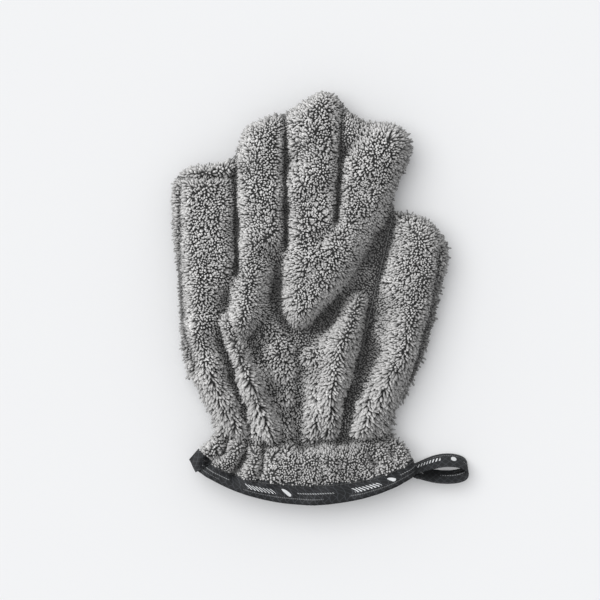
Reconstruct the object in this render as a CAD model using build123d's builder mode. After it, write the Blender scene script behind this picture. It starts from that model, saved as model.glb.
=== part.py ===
"""Hand-shaped plush wash mitt, lying flat with its palm face up.

Two plush panels meet at a perimeter seam and make a hollow glove: a palm, four finger channels sewn side by side,
a thumb, a gathered wrist with an elastic inside it, and a flared cuff whose hem is bound with folded tape.
A loop of the same tape hangs from the cuff's thumb-side corner. Units are millimetres. +X is the thumb side,
+Y points to the fingertips, +Z is up out of the palm face, and z = 0 is the plane the mitt lies on.
"""

import os
from math import cos, radians, sin, tan

from build123d import *

# Driving dimensions
SEAM_Z = 15.5  # height of the perimeter seam, where the two panels meet
WALL = 8.0  # plush panel: knitted ground and pile
WRIST_WALL = 6.0  # the elastic packs the pile down at the wrist and in the cuff
CORNER = 14.0  # rounding of the glove's cross-sections
SEAM_GAP = 0.1  # between the front panel's edge and the back panel's

# Cross-sections: y, left edge, right edge, top. The pile sinks below z = 0 and is pressed flat there.
SINK = 0.6
PALM_SECTIONS = ((-62, -62, 59, 32), (-30, -77, 78, 37), (6, -87, 86, 40), (50, -89, 97, 37), (90, -91, 99, 33))
CUFF_SECTIONS = ((-62, -62, 59, 32), (-73, -73, 71, 32), (-86, -79, 75, 31), (-114, -80, 76, 30))

# Finger channels: base centre x, base width, tip centre x, tip width, tip y
DIGIT_HEIGHT = 31.0
FINGER_BASE_Y = 10.0
FINGERS = {
    "pinky": (-68.0, 46.0, -68.0, 46.0, 119.0),
    "ring": (-30.0, 34.0, -30.0, 34.0, 153.0),
    "middle": (4.8, 38.0, 5.6, 38.0, 168.0),
    "index": (40.5, 37.0, 47.5, 49.0, 147.0),
}
TIP_ROUNDING = 11.0
DIVISIONS = ((-46.3, 103.0), (-13.5, 135.0), (23.4, 139.0))  # x and top y of the stitching between two fingers
THUMB_WIDTH = 44.0

# Fold lines. The crotch between index finger and thumb is where the knuckle line and the thumb crease meet.
CROTCH = Vector(60.5, 86.0, 0)
KNUCKLE_TILT = 17.6  # degrees: the knuckle line runs down from the crotch to the little finger's side
CREASE_TILT = 12.6  # degrees: the thumb crease leans this far from +Y
FINGER_STEP = 44.0  # from the knuckle line to the middle finger joints
WRIST_Y = -62.0
THUMB_ROOT_Y = -20.0
FINGER_FOLD_Z = 18.0
FOLD_SLOT = 0.8  # width of the slot under a fold line
FOLD_ANGLES = {"knuckle": 60.0, "curl": 60.0, "thumb": 45.0, "cuff": 45.0}  # the room left above each fold line
FOLD_MARGIN = 2.0  # degrees of room at a fully closed fold

# Hem: an arc in plan, bound with tape
HEM_CENTRE = (4.0, 28.5)
HEM_RADIUS = 140.0
BINDING_WIDTH = 14.0
BINDING_OUTSIDE = 1.0  # the tape's outer face lies this far below the pile
BINDING_INSIDE = 6.0
HEM_OUTSIDE = 2.4  # the flattened panel edge inside the folded tape
HEM_INSIDE = 4.6
TAPE_THICKNESS = 1.2

# Thread, elastic and loop
THREAD_RADIUS = 0.6
THREAD_INSET = 3.5  # from the glove's outline to the seam thread
STITCH_PITCH = 5.0
STITCH_REACH = 3.2  # a row of stitches stands this far above and below the seam
CREASE_STITCH_INSET = 3.6  # from the thumb crease to its row of stitches
DIVISION_HALF_WIDTH = 6.0  # the perimeter thread leaves the row of stitches this much room
ELASTIC_WIDTH = 9.0
ELASTIC_THICKNESS = 1.4
ELASTIC_Y = -50.0
ELASTIC_GAP = 0.05
ELASTIC_ROWS = (-53.0, -47.0)  # y of the two rows of stitching that hold the elastic
BINDING_STITCH_RADIUS = 128.6  # about the hem's centre
LOOP_CENTRE = (96.0, -83.3)  # of its lower edge
LOOP_HALF_LENGTH = 16.6
LOOP_HALF_WIDTH = 4.8
LOOP_TAPE_WIDTH = 15.0
LOOP_LEAN = 30.0  # degrees from upright, towards the hem
LOOP_BOTTOM = 1.1
BARTACK = (79.5, -87.0)
BARTACK_RADIUS = 1.0
BARTACK_CLEARANCE = 0.06
EYE_RADIUS = 2.4
LOOP_TAPE_THICKNESS = 1.2
TAIL_START_X = 73.2  # the loop's sewn end, between the binding and the bartack
TAIL_BOTTOM = 2.2
TAIL_TOP = 12.8
TAIL_ARM = 1.7  # height of each arm of the sewn end
EYE_GAP = 0.15  # between the eye and the arms above and below it

TALL = 60.0  # taller than the mitt
WIDE = 300.0  # wider than the mitt

KNUCKLE_DIRECTION = Vector(cos(radians(KNUCKLE_TILT)), sin(radians(KNUCKLE_TILT)), 0)
FINGER_DIRECTION = Vector(-KNUCKLE_DIRECTION.Y, KNUCKLE_DIRECTION.X, 0)
CREASE_DIRECTION = Vector(sin(radians(CREASE_TILT)), cos(radians(CREASE_TILT)), 0)
THUMB_SIDE = Vector(CREASE_DIRECTION.Y, -CREASE_DIRECTION.X, 0)
THUMB_ROOT = CROTCH + CREASE_DIRECTION * ((THUMB_ROOT_Y - CROTCH.Y) / CREASE_DIRECTION.Y)


def section_plane(centre, direction):
    """Upright plane through centre, facing along the horizontal direction."""
    return Plane(origin=centre, x_dir=(direction.Y, -direction.X, 0), z_dir=direction)


def lofted(sections, inset):
    """Glove body through upright sections, inset from its outer surface."""
    with BuildPart() as body:
        for y, left, right, top in sections:
            centre = Vector((left + right) / 2, y, (top - SINK) / 2)
            with BuildSketch(section_plane(centre, Vector(0, 1, 0))):
                RectangleRounded(right - left - 2 * inset, top + SINK - 2 * inset, CORNER - inset)
        loft()
    return body.part


def digit(base, base_width, tip, tip_width, inset):
    """Tube from base to tip, closed and rounded at the tip, inset from its outer surface."""
    along = (tip - base).normalized()
    with BuildPart() as tube:
        for centre, width in ((base, base_width), (tip - along * inset, tip_width)):
            with BuildSketch(section_plane(centre, along)):
                RectangleRounded(width - 2 * inset, DIGIT_HEIGHT + SINK - 2 * inset, CORNER - inset)
        loft()
        tip_edges = tube.faces().sort_by(Axis(base, along))[-1].edges()
        fillet(tip_edges, TIP_ROUNDING - inset)
    return tube.part


def thumb_bay(inset):
    """Prism over the thumb, from its crease and root outwards."""
    corner = THUMB_ROOT - THUMB_SIDE * inset
    with BuildPart() as bay:
        with BuildSketch(Plane.XY.offset(-1)):
            with BuildLine():
                Polyline(
                    corner,
                    corner + THUMB_SIDE * WIDE,
                    corner + (THUMB_SIDE + CREASE_DIRECTION) * WIDE,
                    corner + CREASE_DIRECTION * WIDE,
                    close=True,
                )
            make_face()
        extrude(amount=TALL)
    return bay.part


def hand_body(inset):
    """Palm, fingers and thumb as one closed body, inset from the outer surface."""
    middle = (DIGIT_HEIGHT - SINK) / 2
    palm = lofted(PALM_SECTIONS, inset)
    root = THUMB_ROOT + THUMB_SIDE * (THUMB_WIDTH / 2) - CREASE_DIRECTION
    tip = CROTCH + THUMB_SIDE * (THUMB_WIDTH / 2) - CREASE_DIRECTION
    thumb = digit(root + Vector(0, 0, middle), THUMB_WIDTH, tip + Vector(0, 0, middle), THUMB_WIDTH, inset)
    with BuildPart() as body:
        add(palm)
        add(thumb_bay(inset), mode=Mode.SUBTRACT)
        split(bisect_by=KNUCKLE_PLANE, keep=Keep.BOTTOM)
        add(thumb)
        for x0, w0, x1, w1, y1 in FINGERS.values():
            finger = digit(Vector(x0, FINGER_BASE_Y, middle), w0, Vector(x1, y1, middle), w1, inset)
            add(region(finger, ((KNUCKLE_PLANE, Keep.TOP),), ()))
    return body.part


def fold_plane(point, along):
    """Upright plane containing a fold line; its top side is the side that folds up."""
    return Plane(origin=point, x_dir=along, z_dir=Vector(-along.Y, along.X, 0))


def fold_notch(point, along, height, angle, before, after):
    """Room for a fold: a V above the fold line and a thin slot below it."""
    spread = tan(radians(angle / 2 + FOLD_MARGIN)) * TALL
    slot = FOLD_SLOT / 2
    start = point - along * before + Vector(0, 0, height)
    profile = Plane(origin=start, x_dir=(-along.Y, along.X, 0), z_dir=along)
    with BuildPart() as notch:
        with BuildSketch(profile):
            with BuildLine():
                Polyline(
                    (-slot, -height - 1),
                    (slot, -height - 1),
                    (slot, 0),
                    (slot + spread, TALL),
                    (-slot - spread, TALL),
                    (-slot, 0),
                    close=True,
                )
            make_face()
        extrude(amount=before + after)
    return notch.part


KNUCKLE_PLANE = fold_plane(CROTCH, KNUCKLE_DIRECTION)
CURL_PLANE = KNUCKLE_PLANE.offset(FINGER_STEP)
CREASE_PLANE = fold_plane(CROTCH, CREASE_DIRECTION * -1)
ROOT_PLANE = Plane(origin=THUMB_ROOT, x_dir=THUMB_SIDE, z_dir=CREASE_DIRECTION)
SEAM_PLANE = Plane.XY.offset(SEAM_Z)
SEAM_TOP = SEAM_PLANE.offset(SEAM_GAP / 2)
SEAM_BOTTOM = SEAM_PLANE.offset(-SEAM_GAP / 2)

knuckle_notch = fold_notch(CROTCH, KNUCKLE_DIRECTION, FINGER_FOLD_Z, FOLD_ANGLES["knuckle"], WIDE / 2 + 20, 12)
curl_notch = fold_notch(
    CROTCH + FINGER_DIRECTION * FINGER_STEP, KNUCKLE_DIRECTION, FINGER_FOLD_Z, FOLD_ANGLES["curl"], WIDE, WIDE
)
crease_length = (THUMB_ROOT - CROTCH).length
thumb_notch = fold_notch(CROTCH, CREASE_DIRECTION * -1, SEAM_Z, FOLD_ANGLES["thumb"], 20, crease_length + 0.4)
cuff_notch = fold_notch(Vector(0, WRIST_Y, 0), Vector(-1, 0, 0), SEAM_Z, FOLD_ANGLES["cuff"], WIDE, WIDE)
root_slot_centre = THUMB_ROOT + THUMB_SIDE * (WIDE / 2) + Vector(0, 0, TALL / 2 - 1)
with BuildPart(section_plane(root_slot_centre, CREASE_DIRECTION)) as root_slot:
    Box(WIDE, TALL, FOLD_SLOT)


def region(body, planes, notches):
    """The part of body on the kept side of each plane, with room for the folds beside it."""
    with BuildPart() as piece:
        add(body)
        for plane, side in planes:
            split(bisect_by=plane, keep=side)
        for notch in notches:
            add(notch, mode=Mode.SUBTRACT)
    return piece.part


REGIONS = {
    "palm": (
        ((KNUCKLE_PLANE, Keep.BOTTOM),),
        (thumb_bay(0), knuckle_notch, thumb_notch, root_slot.part, cuff_notch),
    ),
    "knuckles": (((KNUCKLE_PLANE, Keep.TOP), (CURL_PLANE, Keep.BOTTOM)), (knuckle_notch, curl_notch)),
    "fingertips": (((CURL_PLANE, Keep.TOP),), (curl_notch,)),
    "thumb": (
        ((KNUCKLE_PLANE, Keep.BOTTOM), (CREASE_PLANE, Keep.TOP), (ROOT_PLANE, Keep.TOP)),
        (thumb_notch, root_slot.part, knuckle_notch),
    ),
}


def body_piece(body, name):
    """The share of body that belongs to one moving part of the hand."""
    planes, notches = REGIONS[name]
    return region(body, planes, notches)


def save(part, name):
    part.label = name
    export_step(part, f"parts/{name}.step")


os.makedirs("parts", exist_ok=True)

# Plush panels of the hand: a hollow glove, parted at the seam and at the folds
hand_outside = hand_body(0)
hand_pocket = hand_body(WALL)
wrist_pocket = lofted(PALM_SECTIONS[:2], WRIST_WALL)
with BuildPart() as hand_shell:
    add(hand_outside)
    split(bisect_by=Plane.XY, keep=Keep.TOP)
    add(hand_pocket, mode=Mode.SUBTRACT)
    add(wrist_pocket, mode=Mode.SUBTRACT)

for body_name in REGIONS:
    piece = body_piece(hand_shell.part, body_name)
    save(region(piece, ((SEAM_TOP, Keep.TOP),), ()), f"front_panel_{body_name}")
    save(region(piece, ((SEAM_BOTTOM, Keep.BOTTOM),), ()), f"back_panel_{body_name}")


# Cuff panels: a flared sleeve cut off at the arc of its hem, flattened where the binding folds over it


def hem_disc(radius):
    """Upright cylinder whose lower edge in plan is the hem, or a line parallel to it."""
    with BuildPart() as disc:
        with BuildSketch(Plane.XY.offset(-1)):
            with Locations(HEM_CENTRE):
                Circle(radius)
        extrude(amount=TALL)
    return disc.part


def cuff_tube(outer_inset, inner_inset, outer_radius, inner_radius=0):
    """Sleeve between two insets of the cuff's outside, in a band between two hem radii."""
    with BuildPart() as tube:
        add(lofted(CUFF_SECTIONS, outer_inset))
        add(lofted(CUFF_SECTIONS, inner_inset), mode=Mode.SUBTRACT)
        add(hem_disc(outer_radius), mode=Mode.INTERSECT)
        if inner_radius:
            add(hem_disc(inner_radius), mode=Mode.SUBTRACT)
    return tube.part


band_radius = HEM_RADIUS - BINDING_WIDTH
hem = cuff_tube(HEM_OUTSIDE, HEM_INSIDE, HEM_RADIUS - TAPE_THICKNESS, band_radius - 1)
with BuildPart() as cuff_panels:
    add(cuff_tube(0, WRIST_WALL, band_radius))
    split(bisect_by=Plane.XY, keep=Keep.TOP)
    add(hem)
    add(cuff_notch, mode=Mode.SUBTRACT)
save(region(cuff_panels.part, ((SEAM_TOP, Keep.TOP),), ()), "front_panel_cuff")
save(region(cuff_panels.part, ((SEAM_BOTTOM, Keep.BOTTOM),), ()), "back_panel_cuff")

# Binding: tape folded over the hem, with one row of stitching near its upper edge
with BuildPart() as binding:
    add(cuff_tube(BINDING_OUTSIDE, BINDING_INSIDE, HEM_RADIUS, band_radius))
    add(hem, mode=Mode.SUBTRACT)
save(binding.part, "cuff_binding")

row_outside = BINDING_OUTSIDE - THREAD_RADIUS
row_inside = BINDING_OUTSIDE + THREAD_RADIUS
row_radius = BINDING_STITCH_RADIUS + THREAD_RADIUS
with BuildPart() as binding_row:
    add(cuff_tube(row_outside, row_inside, row_radius, row_radius - 2 * THREAD_RADIUS))
    split(bisect_by=Plane.XY, keep=Keep.TOP)
save(binding_row.part, "binding_stitching")

# Perimeter seam: thread running round inside the outline, at the height where the panels meet


def seam_thread(outer, inner):
    """Flat ring between two nested bodies, at seam height."""
    with BuildPart() as ring:
        add(outer)
        with BuildSketch(SEAM_PLANE):
            Rectangle(2 * WIDE, 2 * WIDE)
        extrude(amount=THREAD_RADIUS, both=True, mode=Mode.INTERSECT)
        add(inner, mode=Mode.SUBTRACT)
    return ring.part


thread_inside = THREAD_INSET + 2 * THREAD_RADIUS
with BuildPart() as hand_seam:
    add(seam_thread(hand_body(THREAD_INSET), hand_body(thread_inside)))
    for x, top in DIVISIONS:
        with Locations((x, top, SEAM_Z)):
            Box(
                2 * DIVISION_HALF_WIDTH,
                WIDE,
                4 * THREAD_RADIUS,
                align=(Align.CENTER, Align.MAX, Align.CENTER),
                mode=Mode.SUBTRACT,
            )
            Box(2 * DIVISION_HALF_WIDTH + 4, 2 * THREAD_RADIUS, 2 * THREAD_RADIUS)
with BuildPart() as outline_seam:
    add(hand_seam.part)
    add(thumb_bay(WALL), mode=Mode.SUBTRACT)
save(body_piece(outline_seam.part, "palm"), "perimeter_seam_palm")
for body_name in ("knuckles", "fingertips", "thumb"):
    save(body_piece(hand_seam.part, body_name), f"perimeter_seam_{body_name}")

with BuildPart() as cuff_seam:
    add(seam_thread(lofted(CUFF_SECTIONS, THREAD_INSET), lofted(CUFF_SECTIONS, thread_inside)))
    add(hem_disc(band_radius), mode=Mode.INTERSECT)
    add(cuff_notch, mode=Mode.SUBTRACT)
save(cuff_seam.part, "perimeter_seam_cuff")


# Rows of lockstitch through both panels, between the fingers and beside the thumb crease


def stitch_row(start, end):
    """A run of thread above, a run below, and the ties between them."""
    along = (end - start).normalized()
    length = (end - start).length
    reach = Vector(0, 0, STITCH_REACH)
    with BuildPart() as row:
        for run in (reach, -reach):
            with BuildSketch(Plane(origin=start + run, z_dir=along)):
                Circle(THREAD_RADIUS)
            extrude(amount=length)
        for tie in range(1, int(length / STITCH_PITCH)):
            with BuildSketch(Plane(origin=start + along * (tie * STITCH_PITCH) - reach)):
                Circle(THREAD_RADIUS * 0.9)
            extrude(amount=2 * STITCH_REACH)
    return row.part


with BuildPart() as division_rows:
    for x, top in DIVISIONS:
        add(stitch_row(Vector(x, FINGER_BASE_Y, SEAM_Z), Vector(x, top, SEAM_Z)))
for body_name in ("knuckles", "fingertips"):
    save(body_piece(division_rows.part, body_name), f"division_stitching_{body_name}")

crease_shift = Vector(0, 0, SEAM_Z) - THUMB_SIDE * CREASE_STITCH_INSET
crease_row = stitch_row(THUMB_ROOT + crease_shift, CROTCH + crease_shift - CREASE_DIRECTION * 12)
save(body_piece(crease_row, "palm"), "thumb_crease_stitching")


# Elastic round the inside of the wrist, held by two rows of stitching


def wrist_band(outer_inset, inner_inset, y, width):
    """Ring inside the wrist, between two insets of the glove's outside."""
    with BuildPart() as ring:
        add(lofted(PALM_SECTIONS[:2], outer_inset))
        add(lofted(PALM_SECTIONS[:2], inner_inset), mode=Mode.SUBTRACT)
        with BuildSketch(section_plane(Vector(0, y - width / 2, 0), Vector(0, 1, 0))):
            Rectangle(2 * WIDE, 2 * WIDE)
        extrude(amount=width, mode=Mode.INTERSECT)
    return ring.part


elastic_outside = WRIST_WALL + ELASTIC_GAP
elastic_inside = elastic_outside + ELASTIC_THICKNESS
save(wrist_band(elastic_outside, elastic_inside, ELASTIC_Y, ELASTIC_WIDTH), "wrist_elastic")
with BuildPart() as elastic_rows:
    for y in ELASTIC_ROWS:
        add(wrist_band(WRIST_WALL - 1, elastic_inside + THREAD_RADIUS, y, 2 * THREAD_RADIUS))
save(elastic_rows.part, "elastic_stitching")

# Hanging loop: its sewn end stands out of the binding, and a bartack of thread joins the loop to it
with BuildPart() as tail:
    with BuildSketch(Plane.XY.offset(TAIL_BOTTOM)):
        with Locations(BARTACK):
            Circle(EYE_RADIUS)
        with Locations((TAIL_START_X, BARTACK[1])):
            Rectangle(BARTACK[0] - TAIL_START_X, 2 * LOOP_TAPE_THICKNESS, align=(Align.MIN, Align.CENTER))
    extrude(amount=TAIL_TOP - TAIL_BOTTOM)
    with BuildSketch(Plane.XY.offset(TAIL_BOTTOM + TAIL_ARM)):
        with Locations(BARTACK):
            Circle(EYE_RADIUS + 1)
    extrude(amount=TAIL_TOP - TAIL_BOTTOM - 2 * TAIL_ARM, mode=Mode.SUBTRACT)
save(tail.part, "loop_tail")

with BuildPart() as bartack:
    with BuildSketch(Plane.XY.offset(TAIL_BOTTOM - THREAD_RADIUS)):
        with Locations(BARTACK):
            Circle(BARTACK_RADIUS)
    extrude(amount=TAIL_TOP - TAIL_BOTTOM + 2 * THREAD_RADIUS)
save(bartack.part, "loop_bartack")

eye_bottom = TAIL_BOTTOM + TAIL_ARM + EYE_GAP
eye_top = TAIL_TOP - TAIL_ARM - EYE_GAP
with BuildPart() as hanging_loop:
    with BuildSketch(Plane.XY.offset(LOOP_BOTTOM)):
        with Locations(LOOP_CENTRE):
            Ellipse(LOOP_HALF_LENGTH, LOOP_HALF_WIDTH)
            Ellipse(
                LOOP_HALF_LENGTH - LOOP_TAPE_THICKNESS,
                LOOP_HALF_WIDTH - LOOP_TAPE_THICKNESS,
                mode=Mode.SUBTRACT,
            )
    extrude(amount=LOOP_TAPE_WIDTH, dir=(0, -sin(radians(LOOP_LEAN)), cos(radians(LOOP_LEAN))))
    with BuildSketch(Plane.XY):
        with Locations(BARTACK):
            Circle(EYE_RADIUS + 2 * EYE_GAP)
    extrude(amount=TALL, mode=Mode.SUBTRACT)
    with BuildSketch(Plane.XY.offset(eye_bottom)):
        with Locations(BARTACK):
            Circle(EYE_RADIUS)
        with Locations((BARTACK[0], BARTACK[1])):
            Rectangle(EYE_RADIUS + 3, 2 * LOOP_TAPE_THICKNESS, align=(Align.MIN, Align.CENTER))
    extrude(amount=eye_top - eye_bottom)
    with BuildSketch(Plane.XY):
        with Locations(BARTACK):
            Circle(BARTACK_RADIUS + BARTACK_CLEARANCE)
    extrude(amount=TALL, mode=Mode.SUBTRACT)
save(hanging_loop.part, "hanging_loop")
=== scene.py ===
"""Looks of the plush wash mitt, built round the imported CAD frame.

Lengths are in millimetres until a mesh is made.
"""

from math import cos, pi, radians, sin

import bpy
import numpy as np
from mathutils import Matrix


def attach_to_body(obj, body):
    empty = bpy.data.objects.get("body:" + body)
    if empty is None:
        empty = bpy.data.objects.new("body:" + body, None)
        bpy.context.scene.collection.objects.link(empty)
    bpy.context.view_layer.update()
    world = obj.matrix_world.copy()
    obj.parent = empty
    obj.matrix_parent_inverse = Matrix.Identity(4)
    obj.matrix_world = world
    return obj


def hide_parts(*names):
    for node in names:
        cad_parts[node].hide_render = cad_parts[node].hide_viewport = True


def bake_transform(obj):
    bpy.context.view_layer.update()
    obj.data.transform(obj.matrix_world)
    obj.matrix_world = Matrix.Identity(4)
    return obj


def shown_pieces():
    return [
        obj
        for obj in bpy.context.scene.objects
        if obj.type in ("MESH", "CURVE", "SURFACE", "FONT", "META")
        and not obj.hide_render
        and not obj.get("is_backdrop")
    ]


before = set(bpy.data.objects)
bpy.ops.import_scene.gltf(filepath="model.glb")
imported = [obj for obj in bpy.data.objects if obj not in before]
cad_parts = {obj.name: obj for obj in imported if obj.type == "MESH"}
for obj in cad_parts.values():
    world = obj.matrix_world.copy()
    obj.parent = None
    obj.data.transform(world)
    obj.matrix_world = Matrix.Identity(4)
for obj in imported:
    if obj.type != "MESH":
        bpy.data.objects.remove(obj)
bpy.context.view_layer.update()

MM = 0.001

# Fold lines and hem, as in the CAD frame
CROTCH = np.array([60.5, 86.0])
KNUCKLE = np.array([cos(radians(17.6)), sin(radians(17.6))])
FINGER = np.array([-KNUCKLE[1], KNUCKLE[0]])
CREASE = np.array([sin(radians(12.6)), cos(radians(12.6))])
THUMB_SIDE = np.array([CREASE[1], -CREASE[0]])
THUMB_ROOT = CROTCH - CREASE * (106.0 / CREASE[1])
HEM_CENTRE = np.array([4.0, 28.5])
HEM_RADIUS = 140.0
GROUND_HEM = HEM_RADIUS - 1.0  # the ground ends this far from the hem's centre, inside the tape's fold
SEAM = 15.5  # height of the perimeter seam
DEEPEST_BACK = 12.2  # depth of the back's ground below the seam, which keeps its pile off the floor

# The mitt's outline in plan, tips of the pile included, from the cuff's left end clockwise
LEFT_SIDE = [(-80, -150), (-80, -96), (-77.5, -80), (-72, -72), (-66, -66), (-62.5, -61), (-63, -55)]
LEFT_SIDE += [(-66.5, -48), (-72, -37.5), (-79, -26), (-84, -14), (-86.5, 6), (-87.5, 26), (-89, 48)]
LEFT_SIDE += [(-91.5, 72), (-92, 100)]
LITTLE_TIP = [(-91, 109.5), (-86.5, 115), (-78, 119.5), (-64, 121), (-55, 123.5)]
RING_TIP = [(-49.5, 127.5), (-46.5, 135), (-42, 145), (-30, 152.5), (-18, 155.5)]
MIDDLE_TIP = [(-9, 159.5), (0, 165.5), (12, 171), (24, 166), (32.5, 157)]
INDEX_TIP = [(42, 150.5), (58, 149), (68.5, 143.5), (73, 132), (71, 119), (65, 106), (61.5, 96)]
THUMB_TIP = [(64, 90), (74, 87), (84, 83), (92.5, 76), (98.5, 65), (99.5, 54)]
THUMB_EDGE = [(96, 41), (92.5, 26), (89, 10), (84.5, -5), (79.5, -19), (73, -32), (66, -44)]
RIGHT_SIDE = [(60.5, -55), (60, -62), (65, -67.5), (72, -73.5), (77, -86), (77, -98), (77, -150)]
PILE_REACH = 3.0  # the pile stands this far out of the knitted ground at the outline

# Stitched lines between the fingers, from tip to root
DIVISIONS = (
    [(-46.5, 134), (-47, 107), (-46.5, 70), (-46, 46)],
    [(-14, 160), (-13.6, 139), (-13, 100), (-12.5, 64)],
    [(25, 162), (24.5, 146), (23, 110), (21.5, 80)],
)
THUMB_CREASE = [(61, 90), (52, 50), (43, 12), (36.8, -20)]

# Padded lobes of the front: centre line with half width and height of its rounded back at each point
LOBES = {
    "little": [(-68, 112, 21, 13), (-68, 54, 21, 16), (-71, 7, 18, 17), (-61, -34, 14, 14), (-44, -66, 9, 9)],
    "ring": [(-29, 152, 16, 12), (-29, 75, 17, 16), (-35, 37, 15, 18), (-44, 10, 11, 18)],
    "rope": [(-53, 12, 6, 17), (-41, -18, 6, 18), (-30, -48, 6, 15), (-22, -68, 5, 11)],
    "middle": [(7, 164, 17, 12), (6, 95, 19, 16), (2, 54, 16, 18), (-6, 22, 11, 18)],
    "index": [(60, 138, 19, 14), (45, 109, 19, 15), (30, 78, 16, 18), (14, 44, 13, 20), (-3, 17, 10, 19)],
    "heel": [(36, 26, 8, 14), (25, 0, 13, 17), (19, -34, 11, 14.5), (18, -68, 6, 10)],
    "thumb": [(78, 71, 18, 14), (77, 34, 18, 16), (67, -3, 16, 16), (52, -41, 12, 13), (38, -68, 8, 9)],
    "cuff": [(-18, -84, 8, 9), (10, -82, 10, 12), (34, -80, 9, 9)],
}
LOBE_SHARPNESS = 0.7  # how abruptly one lobe gives way to the next
RELIEF = 1.1
# Soft folds between and across the lobes: points along the fold, depth, half width
FOLDS = (
    ([(-22, 54), (-20, 30), (-9, 6), (-3, -12), (-3, -38), (-5, -62)], 8.0, 9.0),
    ([(60, 78), (44, 46), (27, 24), (4, 8)], 7.5, 12.0),
    ([(-64, 4), (-50, -26), (-40, -60)], 2.5, 6.0),
    ([(-32, 2), (-24, -16), (-15, -50)], 3.5, 9.0),
    ([(46, 30), (44, -8), (31, -36), (27, -66)], 7.0, 9.0),
    ([(-60, -74), (-44, -79)], 4.0, 7.0),
    ([(50, -73), (63, -78)], 5.5, 7.0),
    ([(-53, -67), (-56, -77), (-65, -84)], 7.0, 3.6),
    ([(-40, -69), (-41, -79), (-48, -90)], 7.0, 3.6),
    ([(-29, -73), (-28, -82), (-31, -92)], 5.0, 3.2),
    ([(38, -70), (43, -80), (49, -84)], 5.0, 3.4),
)
# Seams that draw the ground in: points along the seam and depth
SEAM_FOLDS = (
    ([(-83, 104), (-83, 40), (-80, 8), (-72, -20)], 3.4),
    ([(-87, 109.5), (-66, 109), (-49, 111)], 6.5),
    ([(90, 62), (87, 36), (80, 6), (70, -28)], 3.0),
)


def spline(points, step=2.0):
    """Smooth curve through points, as closely spaced points."""
    p = np.array(points, float)
    p = np.vstack([2 * p[0] - p[1], p, 2 * p[-1] - p[-2]])
    out = []
    for a, b, c, d in zip(p[:-3], p[1:-2], p[2:-1], p[3:]):
        n = max(2, int(np.linalg.norm(c - b) / step))
        t = np.linspace(0, 1, n, endpoint=False)[:, None]
        curve = 2 * b + (c - a) * t + (2 * a - 5 * b + 4 * c - d) * t**2 + (3 * b - a - 3 * c + d) * t**3
        out.append(0.5 * curve)
    return np.vstack(out + [p[-2:-1]])


def distance(points, line):
    """Distance in plan from each point to a line of points."""
    best = np.full(len(points), 1e9)
    for a, b in zip(line[:-1], line[1:]):
        d = b - a
        t = np.clip(((points - a) @ d) / (d @ d), 0, 1)
        best = np.minimum(best, np.linalg.norm(points - a - t[:, None] * d, axis=1))
    return best


def inside(points, ring):
    """True for each point within a closed ring."""
    x, y = points[:, 0], points[:, 1]
    result = np.zeros(len(points), bool)
    for (x0, y0), (x1, y1) in zip(ring, np.roll(ring, -1, axis=0)):
        if y0 != y1:
            crosses = (y0 > y) != (y1 > y)
            result ^= crosses & (x < (x1 - x0) * (y - y0) / (y1 - y0) + x0)
    return result


FINGERS = LITTLE_TIP + RING_TIP + MIDDLE_TIP + INDEX_TIP
OUTLINE = spline(LEFT_SIDE + FINGERS + THUMB_TIP + THUMB_EDGE + RIGHT_SIDE)
DIVISION_LINES = [spline(line, 6) for line in DIVISIONS]
CREASE_LINE = spline(THUMB_CREASE, 6)
FOLD_LINES = [(spline(line, 6), depth, width) for line, depth, width in FOLDS]
SEAM_LINES = [(spline(line, 6), depth) for line, depth in SEAM_FOLDS]


def waves(points, size, seed, count=9):
    """Smooth seeded unevenness between about -1 and 1, with features of about the given size."""
    r = np.random.default_rng(seed)
    angle, phase = r.uniform(0, 2 * pi, (2, count))
    pitch = size * r.uniform(1.3, 2.8, count)
    total = np.zeros(len(points))
    for a, f, k in zip(angle, phase, 2 * pi / pitch):
        total += np.sin(k * (points[:, 0] * cos(a) + points[:, 1] * sin(a)) + f)
    return total / np.sqrt(count / 2) / 1.6


def edge_distance(points):
    """Distance inwards from the edge of the knitted ground, negative outside it."""
    d = distance(points, OUTLINE)
    return np.where(inside(points, OUTLINE), d, -d) - PILE_REACH


def dome(d, reach):
    """Rounded rise from an edge: 0 on it, 1 from reach inwards."""
    t = np.clip(d / reach, 0, 1)
    return np.sqrt(np.maximum(1 - (1 - t) ** 2, 0))


def from_tip(points, line):
    """How firmly a stitched line draws the cloth in: softly at its upper end, fully from 32 mm away."""
    return np.clip(0.4 + np.linalg.norm(points - line[0], axis=1) / 53, 0, 1)


def above_knuckles(points):
    """Distance from the knuckle line towards the fingertips."""
    return (points - CROTCH) @ FINGER


def lobe_height(points, stations):
    """Height of one lobe along its centre line: a full tube on the fingers, a soft ridge on the palm."""
    best = np.zeros(len(points))
    tube = np.clip((points[:, 1] - 10) / 45, 0, 1)
    for a, b in zip(stations[:-1], stations[1:]):
        d = b[:2] - a[:2]
        t = np.clip(((points - a[:2]) @ d) / (d @ d), 0, 1)
        off = np.linalg.norm(points - a[:2] - t[:, None] * d, axis=1)
        width = a[2] + (b[2] - a[2]) * t
        height = a[3] + (b[3] - a[3]) * t
        share = off / (1.25 * width)
        full = np.sqrt(np.maximum(1 - share**2, 0))
        best = np.maximum(best, height * (full * tube + np.exp(-1.7 * share**2) * (1 - tube)))
    return best


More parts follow.
